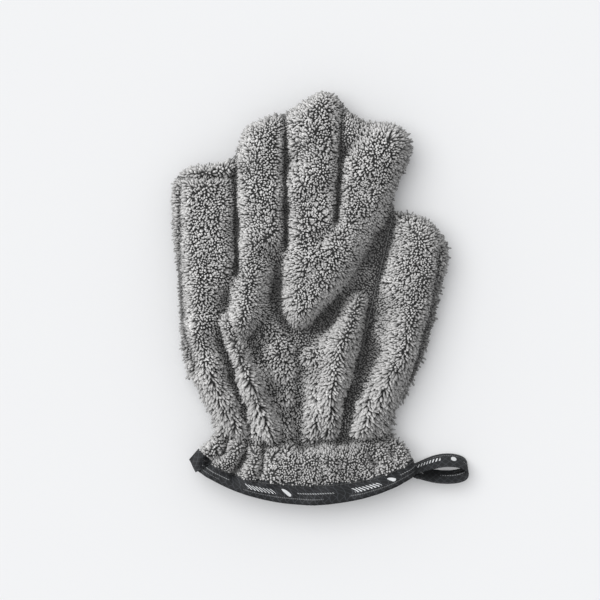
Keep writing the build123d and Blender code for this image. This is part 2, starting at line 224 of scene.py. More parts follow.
def heights(points):
    """Height of the front ground above the seam, and depth of the back ground below it."""
    x, y = points.T
    edge = edge_distance(points)
    base = np.interp(y, (-115, -90, -74, -66, -52, -20, 25, 95, 170), (9, 10, 9.5, 6.5, 6.5, 7.5, 8, 7, 7))
    total = np.exp(LOBE_SHARPNESS * base)
    for stations in LOBES.values():
        total += np.exp(LOBE_SHARPNESS * lobe_height(points, np.array(stations, float)))
    front = RELIEF * np.log(total) / LOBE_SHARPNESS * dome(edge, 13)
    back = 11.6 * dome(edge, 16)
    for line in DIVISION_LINES + [CREASE_LINE]:
        gap = (1 - dome(distance(points, line) + 0.15, 9)) * from_tip(points, line)
        front *= 1 - 0.85 * gap
        back *= 1 - 0.7 * gap
    for line, depth, width in FOLD_LINES:
        gap = np.exp(-((distance(points, line) / width) ** 2))
        front -= depth * gap * np.clip(edge / 6, 0, 1)
    for line, depth in SEAM_LINES:
        front -= depth * np.exp(-((distance(points, line) / 2.2) ** 2)) * np.clip(edge / 2, 0, 1)
    # Gathers fan out from the wrist, upwards over the palm and downwards over the cuff
    wrist = -66.5 - 3.5 * np.cos(x / 60 * pi / 2) - 2.5 * np.exp(-(((x + 25) / 13) ** 2))
    wrist += 1.6 * waves(points, 14, 4)
    fan = x * np.where(y > wrist, 60 / (60 + 0.42 * (y - wrist)), 60 / (60 + 0.5 * (wrist - y)))
    pleats = np.sin(fan / 11.5 * 2 * pi + 1.2 * waves(points, 20, 3)) + 0.5 * np.sin(fan / 6.1 * 2 * pi + 1)
    near = np.exp(-(((y - wrist) / 24) ** 2))
    soft_edge = np.clip(edge / 6, 0, 1)
    front += 1.35 * pleats * near * soft_edge
    front *= 1 - 0.72 * np.exp(-(((y - wrist) / 4.6) ** 2))
    back *= 1 - 0.3 * np.exp(-(((y - wrist) / 4.2) ** 2))
    front += (1.1 * waves(points, 16, 5) + 0.5 * waves(points, 7, 6)) * soft_edge
    back += 0.5 * waves(points, 18, 8) * soft_edge
    return np.maximum(front, 0), np.clip(back, 0, DEEPEST_BACK)


def hem_distance(points):
    """Distance above the hem, and a large one in the upper half of the mitt, where there's no hem."""
    above = GROUND_HEM - np.linalg.norm(points - HEM_CENTRE, axis=1)
    return np.where(points[:, 1] < 0, above, 200.0)


def border(points):
    """Distance inwards from the edge or the hem, whichever is nearer."""
    return np.minimum(edge_distance(points), hem_distance(points))


def plan_grid(step):
    """Grid of the mitt in plan with its rim vertices moved onto the border: points and quads."""
    xs = np.arange(-96, 106, step)
    ys = np.arange(-116, 172, step)
    points = np.stack(np.meshgrid(xs, ys), -1).reshape(-1, 2)
    within = border(points) > 0
    i, j = np.meshgrid(np.arange(len(xs) - 1), np.arange(len(ys) - 1))
    corner = (j * len(xs) + i).ravel()
    quads = np.stack([corner, corner + 1, corner + 1 + len(xs), corner + len(xs)], 1)
    quads = quads[within[quads].sum(1) >= 2]
    used = np.unique(quads)
    renumber = np.zeros(len(points), int)
    renumber[used] = np.arange(len(used))
    points, quads = points[used], renumber[quads]
    for _ in range(4):
        out = np.flatnonzero(border(points) < 0.02)
        p = points[out]
        b = border(p)
        slope = np.stack([border(p + (0.2, 0)) - b, border(p + (0, 0.2)) - b], 1) / 0.2
        points[out] = p - slope * (b / np.maximum((slope**2).sum(1), 0.3))[:, None]
    return points, quads


def rim_points(quads, count):
    """True for each point on the rim of a grid of quads."""
    edges = np.concatenate([quads[:, [k, (k + 1) % 4]] for k in range(4)])
    lone = np.setdiff1d(edges[:, 0] * count + edges[:, 1], edges[:, 1] * count + edges[:, 0])
    on_rim = np.zeros(count, bool)
    on_rim[lone // count] = True
    on_rim[lone % count] = True
    return on_rim


def face_normals(verts, quads):
    """Normals of quads, as long as twice their area."""
    a, b, c, d = (verts[quads[:, k]] for k in range(4))
    return np.cross(c - a, d - b)


def vertex_normals(verts, quads):
    n = np.zeros_like(verts)
    f = face_normals(verts, quads)
    for k in range(4):
        np.add.at(n, quads[:, k], f)
    return n / np.maximum(np.linalg.norm(n, axis=1), 1e-9)[:, None]


def make_mesh(name, verts, faces, material, attributes=None, shading=None):
    """Mesh object from millimetres, smooth-shaded, with point attributes and, if given, shading normals."""
    me = bpy.data.meshes.new(name)
    faces = [f for f in faces if len(f)]
    loops = np.concatenate([f.ravel() for f in faces])
    sizes = np.concatenate([np.full(len(f), f.shape[1]) for f in faces])
    me.vertices.add(len(verts))
    me.vertices.foreach_set("co", (np.asarray(verts) * MM).astype(np.float32).ravel())
    me.loops.add(len(loops))
    me.loops.foreach_set("vertex_index", loops.astype(np.int32))
    me.polygons.add(len(sizes))
    me.polygons.foreach_set("loop_start", np.concatenate([[0], np.cumsum(sizes)[:-1]]).astype(np.int32))
    me.update(calc_edges=True)
    me.validate()
    me.polygons.foreach_set("use_smooth", np.ones(len(me.polygons), bool))
    for key, values in (attributes or {}).items():
        me.attributes.new(key, "FLOAT", "POINT").data.foreach_set("value", np.asarray(values, np.float32))
    if shading is not None:
        me.normals_split_custom_set_from_vertices(shading.astype(np.float32))
    me.materials.append(material)
    ob = bpy.data.objects.new(name, me)
    bpy.context.scene.collection.objects.link(ob)
    return ob


# Zones of the mitt, each with the CAD parts it replaces; only palm and heel pieces move with a body, the
# palm's. The heel is the palm's lower half.
ZONES = ("palm", "heel", "knuckles", "fingertips", "thumb", "cuff")
KNUCKLE_START = -18  # from the knuckle line, along the fingers
FINGERTIP_START = 24
HEEL_TOP = 12
CUFF_TOP = -46


def zone_of(points):
    """Zone name for each point in plan."""
    up = above_knuckles(points)
    across = (points - CROTCH) @ THUMB_SIDE
    along = (points - THUMB_ROOT) @ CREASE
    names = np.full(len(points), "palm", dtype="<U12")
    names[up > KNUCKLE_START] = "knuckles"
    names[up > FINGERTIP_START] = "fingertips"
    names[(up < 0) & (across > 0) & (along > 0)] = "thumb"
    names[(names == "palm") & (points[:, 1] < HEEL_TOP)] = "heel"
    names[points[:, 1] < CUFF_TOP] = "cuff"
    return names


def node_zone(zone):
    """The part of the CAD frame's node names that stands for a zone."""
    return "palm" if zone == "heel" else zone


def attach(piece, zone):
    """Attaches a palm or heel piece to the palm's body; for the other zones only bakes its transform."""
    if zone in ("palm", "heel"):
        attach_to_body(piece, "palm")
    elif zone == "knuckles":
        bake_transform(piece)
    elif zone == "fingertips":
        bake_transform(piece)
    elif zone == "thumb":
        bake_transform(piece)
    else:
        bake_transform(piece)


# Materials
def principled(name, roughness):
    """A material with its node tree and shader."""
    mat = bpy.data.materials.new(name)
    mat.use_nodes = True
    shader = mat.node_tree.nodes["Principled BSDF"]
    shader.inputs["Roughness"].default_value = roughness
    return mat, mat.node_tree, shader


def math_node(nt, operation, a, b=None):
    """Output of a math node on numbers or sockets."""
    node = nt.nodes.new("ShaderNodeMath")
    node.operation = operation
    for socket, value in zip(node.inputs, (a, b)):
        if value is None:
            continue
        if isinstance(value, (int, float)):
            socket.default_value = value
        else:
            nt.links.new(value, socket)
    return node.outputs[0]


def attribute(nt, name):
    node = nt.nodes.new("ShaderNodeAttribute")
    node.attribute_name = name
    return node.outputs["Fac"]


def ramp(nt, value, stops):
    node = nt.nodes.new("ShaderNodeValToRGB")
    while len(node.color_ramp.elements) < len(stops):
        node.color_ramp.elements.new(0.5)
    for element, (position, colour) in zip(node.color_ramp.elements, stops):
        element.position = position
        element.color = (*colour, 1)
    nt.links.new(value, node.inputs[0])
    return node.outputs[0]


def grey(value, warm=0.0):
    """A grey, a little towards red and away from blue."""
    return (value * (1 + warm), value, value * (1 - warm))


def pile_material():
    """Grey strands, pale at the tip and painted dark at the root as shade in the pile, scaled per strand by
    uneven grey and painted shade.
    """
    mat, nt, shader = principled("plush_pile", 0.72)
    # The near-black root and the dim lower stop are painted shade deep in the pile
    root_in_painted_shade, low = (0.0, grey(0.016)), (0.35, grey(0.125, 0.012))
    high, end = (0.75, grey(0.3, 0.01)), (1.0, grey(0.36, 0.008))
    colour = ramp(nt, attribute(nt, "tip"), (root_in_painted_shade, low, high, end))
    scale = nt.nodes.new("ShaderNodeVectorMath")
    scale.operation = "SCALE"
    nt.links.new(colour, scale.inputs[0])
    # Scaled per strand by uneven grey and painted shade
    nt.links.new(attribute(nt, "tone_and_painted_shade"), scale.inputs["Scale"])
    nt.links.new(scale.outputs[0], shader.inputs["Base Color"])
    shader.inputs["Sheen Weight"].default_value = 0.12
    shader.inputs["Sheen Roughness"].default_value = 0.5
    return mat


def ground_material():
    """Knit with fine uneven ribs, painted near-black as shade in the gaps between the strands."""
    mat, nt, shader = principled("dark_knit_painted_shade", 0.9)
    coords = nt.nodes.new("ShaderNodeTexCoord")
    wave = nt.nodes.new("ShaderNodeTexWave")
    wave.inputs["Scale"].default_value = 420
    wave.inputs["Distortion"].default_value = 3
    nt.links.new(coords.outputs["Object"], wave.inputs["Vector"])
    colour = ramp(nt, wave.outputs["Fac"], ((0.0, grey(0.014)), (1.0, grey(0.035))))
    nt.links.new(colour, shader.inputs["Base Color"])
    return mat


def tape_material():
    """Dark woven tape with a faint mesh of diamonds and small plain white marks."""
    mat, nt, shader = principled("dark_tape", 0.75)
    shader.inputs["Specular IOR Level"].default_value = 0.3
    u, v = attribute(nt, "tape_u"), attribute(nt, "tape_v")

    def near_line(value, pitch, half):
        """1 within half of a multiple of the pitch."""
        part = math_node(nt, "PINGPONG", value, pitch / 2)
        return math_node(nt, "LESS_THAN", part, half)

    def band(value, low, high):
        above = math_node(nt, "GREATER_THAN", value, low)
        return math_node(nt, "MULTIPLY", above, math_node(nt, "LESS_THAN", value, high))

    def blob(value, other, x, y, rx, ry):
        """1 inside an ellipse."""
        dx = math_node(nt, "DIVIDE", math_node(nt, "SUBTRACT", value, x), rx)
        dy = math_node(nt, "DIVIDE", math_node(nt, "SUBTRACT", other, y), ry)
        square = math_node(nt, "ADD", math_node(nt, "MULTIPLY", dx, dx), math_node(nt, "MULTIPLY", dy, dy))
        return math_node(nt, "LESS_THAN", square, 1.0)

    diamond, line_half = 5.2, 0.3
    rise = math_node(nt, "MULTIPLY", v, 0.8)
    uphill = near_line(math_node(nt, "ADD", u, rise), diamond, line_half)
    downhill = near_line(math_node(nt, "SUBTRACT", u, rise), diamond, line_half)
    mesh = math_node(nt, "MAXIMUM", uphill, downhill)
    # Marks that repeat along the tape: a row of slanted bars, a droplet, and fine broken lines
    mark_repeat = 74.0
    cell = math_node(nt, "MODULO", u, mark_repeat)
    marks = blob(cell, v, 37.0, 6.4, 1.9, 2.4)
    slanted = math_node(nt, "ADD", cell, math_node(nt, "MULTIPLY", v, 0.35))
    bars = math_node(nt, "MULTIPLY", band(v, 4.6, 8.0), band(cell, 8.5, 28.0))
    marks = math_node(nt, "MAXIMUM", marks, math_node(nt, "MULTIPLY", bars, near_line(slanted, 2.5, 0.52)))
    fine = math_node(nt, "MULTIPLY", band(v, 6.2, 7.0), band(cell, 44.0, 70.0))
    fine = math_node(nt, "MULTIPLY", fine, near_line(u, 1.7, 0.5))
    marks = math_node(nt, "MAXIMUM", marks, math_node(nt, "MULTIPLY", fine, 0.45))
    lower = math_node(nt, "MULTIPLY", band(v, 2.4, 3.1), band(cell, 4.0, 60.0))
    lower = math_node(nt, "MULTIPLY", lower, near_line(u, 1.3, 0.38))
    marks = math_node(nt, "MAXIMUM", marks, math_node(nt, "MULTIPLY", lower, 0.2))
    noise = nt.nodes.new("ShaderNodeTexNoise")
    noise.inputs["Scale"].default_value = 260
    worn = math_node(nt, "MULTIPLY_ADD", noise.outputs["Fac"], 0.008)
    nt.nodes[-1].inputs[2].default_value = 0.005
    level = math_node(nt, "MULTIPLY_ADD", mesh, 0.022)
    nt.links.new(worn, nt.nodes[-1].inputs[2])
    mixer = nt.nodes.new("ShaderNodeMix")
    mixer.data_type = "RGBA"
    nt.links.new(marks, mixer.inputs["Factor"])
    combine = nt.nodes.new("ShaderNodeCombineColor")
    for socket, tint in zip(combine.inputs, (1.0, 1.08, 1.2)):
        nt.links.new(math_node(nt, "MULTIPLY", level, tint), socket)
    nt.links.new(combine.outputs[0], mixer.inputs["A"])
    mixer.inputs["B"].default_value = (0.5, 0.51, 0.52, 1)
    nt.links.new(mixer.outputs["Result"], shader.inputs["Base Color"])
    return mat


def plain_fabric(name, value, roughness):
    """Twisted thread: one grey, a little uneven."""
    mat, nt, shader = principled(name, roughness)
    noise = nt.nodes.new("ShaderNodeTexNoise")
    noise.inputs["Scale"].default_value = 500
    colour = ramp(nt, noise.outputs["Fac"], ((0.3, grey(value * 0.8)), (0.7, grey(value * 1.2))))
    nt.links.new(colour, shader.inputs["Base Color"])
    return mat


def elastic_material():
    """Off-white elastic with fine ribs across its length."""
    mat, nt, shader = principled("woven_elastic", 0.8)
    wave = nt.nodes.new("ShaderNodeTexWave")
    wave.inputs["Scale"].default_value = 300
    coords = nt.nodes.new("ShaderNodeTexCoord")
    nt.links.new(coords.outputs["Object"], wave.inputs["Vector"])
    colour = ramp(nt, wave.outputs["Fac"], ((0.0, grey(0.55, 0.02)), (1.0, grey(0.72, 0.02))))
    nt.links.new(colour, shader.inputs["Base Color"])
    return mat


PILE = pile_material()
GROUND = ground_material()

# Knitted ground: front and back sheets, parted into the zones
plan, quads = plan_grid(2.0)
front, back = heights(plan)
# Front and back meet at the perimeter seam; the hem stays open
sewn = rim_points(quads, len(plan)) & (hem_distance(plan) > 1.0)
front[sewn] = 0.0
back[sewn] = 0.0
top = np.column_stack([plan, SEAM + front])
bottom = np.column_stack([plan, SEAM - back])
SHEETS = {"front": (top, quads), "back": (bottom, quads[:, ::-1])}
GROUND_THICKNESS = 1.4


def sheet_piece(name, verts, normals, faces, zone):
    """A sheet with its thickness, cut out of the ground."""
    used = np.unique(faces)
    renumber = np.zeros(len(verts), int)
    renumber[used] = np.arange(len(used))
    f = renumber[faces]
    outer = verts[used]
    inner = outer - normals[used] * GROUND_THICKNESS
    n = len(used)
    edges = np.concatenate([f[:, [k, (k + 1) % 4]] for k in range(4)])
    lone = np.setdiff1d(edges[:, 0] * n + edges[:, 1], edges[:, 1] * n + edges[:, 0])
    a, b = lone // n, lone % n
    rim = np.stack([b, a, a + n, b + n], 1)
    ob = make_mesh(name, np.vstack([outer, inner]), [f, f[:, ::-1] + n, rim], GROUND)
    attach(ob, zone)
    return ob


# Pile: one curved strand of geometry for each tuft
STEPS = np.array([0.0, 0.45, 0.86])  # rings of a strand, as shares of its length
WIDTHS = np.array([0.6, 1.0, 0.9])  # their radii, as shares of the strand's radius
STRAND_SIDES = 4
PILE_LENGTH = 3.5
COMBED_LENGTH = 2.5  # extra length of the ropes above the wrist
STRAND_RADIUS = 0.68
SPACING = 1.17
BACK_SPARSER = 0.45  # how much further apart the back's strands stand, as a share of the spacing
SURFACE_SHARE = 0.55  # part of the shading normal that comes from the ground under a strand
LOCK_CELL = 4.2  # size of the locks that neighbouring tips draw together into
LONG_LOCK_CELL = 4.4
ROOT_DEPTH = 0.6  # a strand starts this far below the ground's surface
SHAGGY_TIP = np.array([62.0, 132.0])  # longer, locked tufts at the index fingertip


NEIGHBOURS = [(i, j, k) for i in (-1, 0, 1) for j in (-1, 0, 1) for k in (-1, 0, 1)]


def crowded(point, key, cells, spacing):
    """True if a point kept so far, in the same cell or one next to it, is nearer than the spacing."""
    for i, j, k in NEIGHBOURS:
        for other in cells.get((key[0] + i, key[1] + j, key[2] + k), ()):
            e = point - other
            if e[0] * e[0] + e[1] * e[1] + e[2] * e[2] < spacing * spacing:
                return True
    return False


def scatter(verts, faces, spacing, seed):
    """Evenly scattered points on a sheet: positions, face index and weights of the face's corners."""
    r = np.random.default_rng(seed)
    tris = np.concatenate([faces[:, [0, 1, 2]], faces[:, [0, 2, 3]]])
    a, b, c = (verts[tris[:, k]] for k in range(3))
    area = np.linalg.norm(np.cross(b - a, c - a), axis=1) / 2
    count = int(area.sum() / spacing**2 * 5)
    pick = r.choice(len(tris), count, p=area / area.sum())
    u, v = np.sqrt(r.random(count)), r.random(count)
    weights = np.stack([1 - u, u * (1 - v), u * v], 1)
    p = (verts[tris[pick]] * weights[:, :, None]).sum(1)
    cells = {}
    keep = []
    keys = np.floor(p / spacing).astype(int)
    for i, (key, q) in enumerate(zip(map(tuple, keys), p)):
        if not crowded(q, key, cells, spacing):
            cells.setdefault(key, []).append(q)
            keep.append(i)
    keep = np.array(keep)
    return p[keep], tris[pick[keep]], weights[keep]


def unit(v):
    """Vectors scaled to length 1."""
    return v / np.maximum(np.linalg.norm(v, axis=1), 1e-9)[:, None]


def combed_part(points):
    """How far the pile is drawn into long ropes towards the wrist, 0 to 1."""
    y = points[:, 1]
    return np.exp(-(((y + 48) / np.where(y > -48, 36.0, 20.0)) ** 2))


def flow(points, normals, side):
    """Direction the pile lies in, along the surface."""
    plan_points = points[:, :2]
    turn = -pi / 2 + 1.4 * waves(plan_points, 34, 21 + side) + 0.8 * waves(plan_points, 11, 31 + side)
    lie = np.stack([np.cos(turn), np.sin(turn), np.zeros(len(points))], 1)
    combed = combed_part(points)[:, None]
    lie += np.column_stack([normals[:, :2], np.zeros(len(points))]) * (1.1 - 0.8 * combed)
    lie[:, 1] -= 2.6 * combed[:, 0]
    lie -= normals * (lie * normals).sum(1)[:, None]
    return unit(lie + 1e-6)


def pile(roots, normals, painted_shade, side, seed):
    """Strands standing out of a sheet: vertices, faces, tip and colour factor (uneven grey times painted
    shade) of each vertex, and shading normals.
    """
    r = np.random.default_rng(seed)
    n = len(roots)
    ridge = np.clip((painted_shade - 0.6) / 0.35, 0, 1)
    combed = combed_part(roots) * ridge
    lie = unit(flow(roots, normals, side) + (0.5 - 0.2 * combed[:, None]) * r.normal(size=(n, 3)))
    stitched = np.min([distance(roots[:, :2], line) for line in DIVISION_LINES + [CREASE_LINE]], axis=0)
    rim = np.clip(edge_distance(roots[:, :2]) / 5, 0, 1)
    length = (PILE_LENGTH + COMBED_LENGTH * combed) * (0.6 + 0.4 * np.clip(stitched / 6, 0, 1))
    length *= 0.86 + 0.14 * rim
    length *= (0.78 + 0.22 * ridge) * np.interp(roots[:, 1], (-78, -70), (0.78, 1.0))
    shaggy = np.exp(-((np.linalg.norm(roots[:, :2] - SHAGGY_TIP, axis=1) / 11) ** 2))
    length *= 1 + 0.45 * shaggy
    length *= 1 + (0.35 - 0.19 * rim) * r.normal(size=n).clip(-2, 2)
    parted = waves(roots[:, :2], 9, 81 + side)
    # Some patches stand dense and fine, others part into coarse locks
    coarse = np.clip(0.5 + 0.6 * waves(roots[:, :2], 13, 83 + side), 0, 1) * (0.35 + 0.65 * ridge)
    length *= 0.9 + 0.2 * coarse
    lean0 = radians(6) + radians(8) * r.normal(size=n)
    lean1 = radians(30) + radians(10) * parted + radians(32) * combed + radians(16) * r.normal(size=n)
    steps = np.append(STEPS, 1.0)
    spine = [roots - normals * ROOT_DEPTH]
    for s0, s1 in zip(steps[:-1], steps[1:]):
        lean = lean0 + (lean1 - lean0) * (s0 + s1) / 2
        d = unit(normals * np.cos(lean)[:, None] + lie * np.sin(lean)[:, None])
        spine.append(spine[-1] + d * (length * (s1 - s0))[:, None])
    spine = np.stack(spine, 1)
    # Neighbouring tips draw together into locks: round ones, but long and narrow where the pile is combed
    together = (0.1 + 0.06 * parted + 0.26 * coarse + 0.24 * combed + 0.22 * shaggy)[:, None, None]
    drawn = combed[:, None]
    long_locks = lock_pull(roots * (1, 0.5, 1), normals, LONG_LOCK_CELL) * (1.3, 0.3, 1)
    pull = lock_pull(roots, normals, LOCK_CELL) * (1 - drawn) + long_locks * drawn
    spine += together * pull[:, None, :] * (steps**1.6)[None, :, None]
    radius = STRAND_RADIUS * (0.84 + 0.08 * ridge + 0.12 * coarse + 0.14 * combed)
    radius *= 1 + 0.16 * r.normal(size=n).clip(-2, 2)
    if side:  # the back's pile is pressed flat where it lies on the floor
        pressed = 0.9 + 1.6 * r.random(n)[:, None]
        spine[:, 1:, 2] = np.maximum(spine[:, 1:, 2], pressed)
    ahead = np.gradient(spine, axis=1)
    ahead /= np.linalg.norm(ahead, axis=2)[:, :, None]
    across = np.cross(ahead, normals[:, None, :] + 0.01)
    across /= np.maximum(np.linalg.norm(across, axis=2), 1e-6)[:, :, None]
    third = np.cross(ahead, across)
    rings = []
    outward = []
    for k in range(STRAND_SIDES):
        a = 2 * pi * (k + 0.5) / STRAND_SIDES
        offset = across * cos(a) + third * sin(a)
        rings.append(spine[:, :-1] + offset[:, :-1] * (radius[:, None] * WIDTHS)[:, :, None])
        outward.append(offset[:, :-1])
    rings, outward = np.stack(rings, 2), np.stack(outward, 2)  # strand, step, side
    m = len(STEPS) * STRAND_SIDES
    verts = np.concatenate([rings.reshape(n, m, 3), spine[:, -1:, :]], 1)
    outward = np.concatenate([outward.reshape(n, m, 3), ahead[:, -1:, :]], 1)
    shading = unit((outward * (1 - SURFACE_SHARE) + normals[:, None, :] * SURFACE_SHARE).reshape(-1, 3))
    base = (np.arange(n) * (m + 1))[:, None]
    faces = []
    for s in range(len(STEPS) - 1):
        for k in range(STRAND_SIDES):
            k1 = (k + 1) % STRAND_SIDES
            near, far = s * STRAND_SIDES, (s + 1) * STRAND_SIDES
            faces.append(base + [[near + k, near + k1, far + k1, far + k]])
    last = (len(STEPS) - 1) * STRAND_SIDES
    caps = [base + [[last + k, last + (k + 1) % STRAND_SIDES, m]] for k in range(STRAND_SIDES)]
    foot = base + [list(range(STRAND_SIDES - 1, -1, -1))]
    tips = np.tile(np.concatenate([np.repeat(STEPS, STRAND_SIDES), [1.0]]), n)
    # Each strand's uneven grey times the painted shade and light at its root
    tone_and_painted_shade = np.repeat((painted_shade * (1 + 0.13 * r.normal(size=n))).clip(0.3, 1.6), m + 1)
    faces = [np.concatenate(faces), np.concatenate(caps), foot]
    return verts.reshape(-1, 3), faces, {"tip": tips, "tone_and_painted_shade": tone_and_painted_shade}, shading


# Any large uneven numbers do: they scatter the middle of a lock within its cell
SCRAMBLE = [[127.1, 269.5, 113.5], [311.7, 183.3, 271.9], [74.7, 246.1, 124.6]]


def lock_pull(roots, normals, cell):
    """Step along the surface from each root to the nearest middle of a lock, one in each cell."""
    home = np.floor(roots / cell)
    best = np.full(len(roots), 1e9)
    pull = np.zeros_like(roots)
    for offset in NEIGHBOURS:
        near = home + offset
        middle = (near + np.sin(near @ SCRAMBLE) * 437.58 % 1.0) * cell
        step = middle - roots
        gap = np.linalg.norm(step, axis=1)
        closer = gap < best
        best[closer] = gap[closer]
        pull[closer] = step[closer]
    return pull - normals * (pull * normals).sum(1)[:, None]


SEAM_PAINTED_SHADE = 0.6  # painted shade: how much darker the pile is painted in a seam's crease


def painted_shade_and_unevenness(points):
    """Factor on the pile's colour: painted shade in hollows and seams, painted light on ridges, painted
    fall-off of light away from the little finger's tip, and uneven grey.
    """
    # Painted shade in hollows and painted light on ridges, from the height against the ground around
    around = []
    for radius in (7.0, 14.0):
        for a in np.arange(6) * pi / 3:
            around.append(heights(points + (radius * cos(a), radius * sin(a)))[0])
    relief = heights(points)[0] - np.mean(around, axis=0)
    painted_shade = np.clip(1.02 + 0.14 * relief, 0.3, 1.12)
    painted_shade *= 1 + 0.09 * waves(points, 15, 91)
    # Painted fall-off of light: 0 at the little finger's tip, about 1 at the loop
    away = np.clip(0.5 + points @ (0.8, -0.6) / 180, 0, 1)
    painted_shade *= 1.1 - 0.24 * away
    # Painted shade in the creases along the stitched lines and seams
    for line in DIVISION_LINES + [CREASE_LINE]:
        painted_shade *= 1 - SEAM_PAINTED_SHADE * from_tip(points, line) * np.exp(-((distance(points, line) / 1.9) ** 2))
    for line, _ in SEAM_LINES:
        painted_shade *= 1 - SEAM_PAINTED_SHADE * np.exp(-((distance(points, line) / 1.9) ** 2))
    return painted_shade


TAPE_WIDTH = 14.0
TURNED_CORNER = np.array([(-79, -81.5), (-72.5, -74), (-63, -83), (-74, -89.5)])


def tape_top(x):
    """Height of the tape's upper edge above the hem: widest in the middle of the cuff."""
    return TAPE_WIDTH * np.interp(x, (-76, -55, -14, 14, 45, 74), (0.62, 0.64, 1.0, 1.0, 0.86, 0.68))


def pile_starts(points):
    """True where strands grow: above the tape, outside its turned corner."""
    return (hem_distance(points) > tape_top(points[:, 0]) - 1.5) & ~inside(points, TURNED_CORNER)


for side, (name, (verts, faces)) in enumerate(SHEETS.items()):
    normals = vertex_normals(verts, faces)
    zones = zone_of(verts[faces].mean(1)[:, :2])
    for zone in ZONES:
        sheet_piece(f"ground_{name}_{zone}", verts, normals, faces[zones == zone], zone)
    # Painted shade and light on the front's pile; the back's pile gets none
    painted_shade = np.ones(len(verts)) if side else painted_shade_and_unevenness(verts[:, :2])
    roots, corners, weights = scatter(verts, faces, SPACING * (1 + BACK_SPARSER * side), 51 + side)
    n = unit((normals[corners] * weights[:, :, None]).sum(1))
    root_painted_shade = (painted_shade[corners] * weights).sum(1)
    keep = pile_starts(roots[:, :2])
    roots, n, root_painted_shade = roots[keep], n[keep], root_painted_shade[keep]
    root_zones = zone_of(roots[:, :2])
    for zone in ZONES:
        here = root_zones == zone
        v, f, values, shading = pile(roots[here], n[here], root_painted_shade[here], side, 61 + side)
        ob = make_mesh(f"pile_{name}_{zone}", v, f, PILE, values, shading)
        attach(ob, zone)
        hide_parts(f"{name}_panel_{node_zone(zone)}")


def inward(points, amount):
    """Points moved inwards from the edge by an amount."""
    b = edge_distance(points)
    slope = np.stack([edge_distance(points + (0.2, 0)) - b, edge_distance(points + (0, 0.2)) - b], 1)
    return points + unit(slope) * amount


def resample(path, pitch):
    """Points at an even pitch along a path."""
    length = np.concatenate([[0], np.cumsum(np.linalg.norm(np.diff(path, axis=0), axis=1))])
    s = np.arange(0, length[-1], pitch)
    return np.column_stack([np.interp(s, length, path[:, k]) for k in range(3)])


def stitches(name, paths, pitch, radius, material):
    """Short rounded stitches of thread along paths."""
    starts, ends = [], []
    for path in paths:
        p = resample(path, pitch)
        starts.append(p[:-1])
        ends.append(p[1:])
    a, b = np.vstack(starts), np.vstack(ends)
    along = unit(b - a)
    across = unit(np.cross(along, (0.31, 0.17, 0.93)))
    third = np.cross(along, across)
    sides = 6
    rows = []
    for share, width in ((0.06, 0.35), (0.18, 0.9), (0.5, 1.0), (0.82, 0.9), (0.94, 0.35)):
        centre = a + (b - a) * share
        for k in range(sides):
            turn = 2 * pi * k / sides
            rows.append(centre + (across * cos(turn) + third * sin(turn)) * radius * width)
    verts = np.stack(rows, 1)
    n, m = verts.shape[:2]
    base = (np.arange(n) * m)[:, None]
    quads = []
    for s in range(4):
        for k in range(sides):
            k1 = (k + 1) % sides
            quads.append(base + [[s * sides + k, s * sides + k1, (s + 1) * sides + k1, (s + 1) * sides + k]])
    caps = [base + [list(range(sides - 1, -1, -1))], base + [list(range(m - sides, m))]]
    return make_mesh(name, verts.reshape(-1, 3), [np.concatenate(quads), np.concatenate(caps)], material)


def ring_round(plan_path):
    """Closed ring on the ground over a path in plan: along the front, then back along the back."""
    front, back = heights(plan_path)
    over = np.column_stack([plan_path, SEAM + front])
    under = np.column_stack([plan_path, SEAM - back])[-2:0:-1]
    return np.vstack([over, under])


def even_ends(t_low, t_high, count):
    """Values between two ends, closer together near the ends."""
    return t_low + (t_high - t_low) * (0.5 - 0.5 * np.cos(np.linspace(0, pi, count)))


def hem_arc(v, count=110):
    """Plan path from edge to edge at a share v of the tape's width above the hem."""

    def arc(angle):
        way = np.column_stack([np.cos(angle), np.sin(angle)])
        radius = GROUND_HEM - v * tape_top(HEM_CENTRE[0] + HEM_RADIUS * np.cos(angle))
        return HEM_CENTRE + radius[:, None] * way

    angle = np.linspace(radians(-150), radians(-30), 900)
    within = angle[edge_distance(arc(angle)) > 0.05]
    return arc(even_ends(within[0], within[-1], count))


def hem_row(v, out):
    """Ring round the cuff at a distance above the hem and a distance out of the ground."""
    ring = ring_round(hem_arc(max(v, 0.0) / TAPE_WIDTH))
    down = np.zeros_like(ring)
    down[:, :2] = unit(ring[:, :2] - HEM_CENTRE)
    tangent = np.roll(ring, -1, axis=0) - np.roll(ring, 1, axis=0)
    normal = unit(np.cross(down, tangent))
    crumple = 0.45 * waves(ring[:, :2] + ring[:, 2:], 9, 71)[:, None]
    return ring + normal * out + normal * crumple * (out > 0) + down * max(-v, 0.0)


def wall(rings, name, material, attributes=None, closed_ends=False):
    """Surface through rings of equal length, each joined to the next and the last to the first."""
    count, m = len(rings), len(rings[0])
    i, j = np.meshgrid(np.arange(count), np.arange(m - closed_ends), indexing="ij")
    i1, j1 = (i + 1) % count, (j + 1) % m
    quads = np.stack([i * m + j, i1 * m + j, i1 * m + j1, i * m + j1], -1).reshape(-1, 4)
    faces = [quads]
    if closed_ends:
        faces.append((np.arange(count)[::-1] * m)[None, ::-1])
        faces.append((np.arange(count) * m + m - 1)[None, ::-1])
    return make_mesh(name, np.vstack(rings), faces, material, attributes)


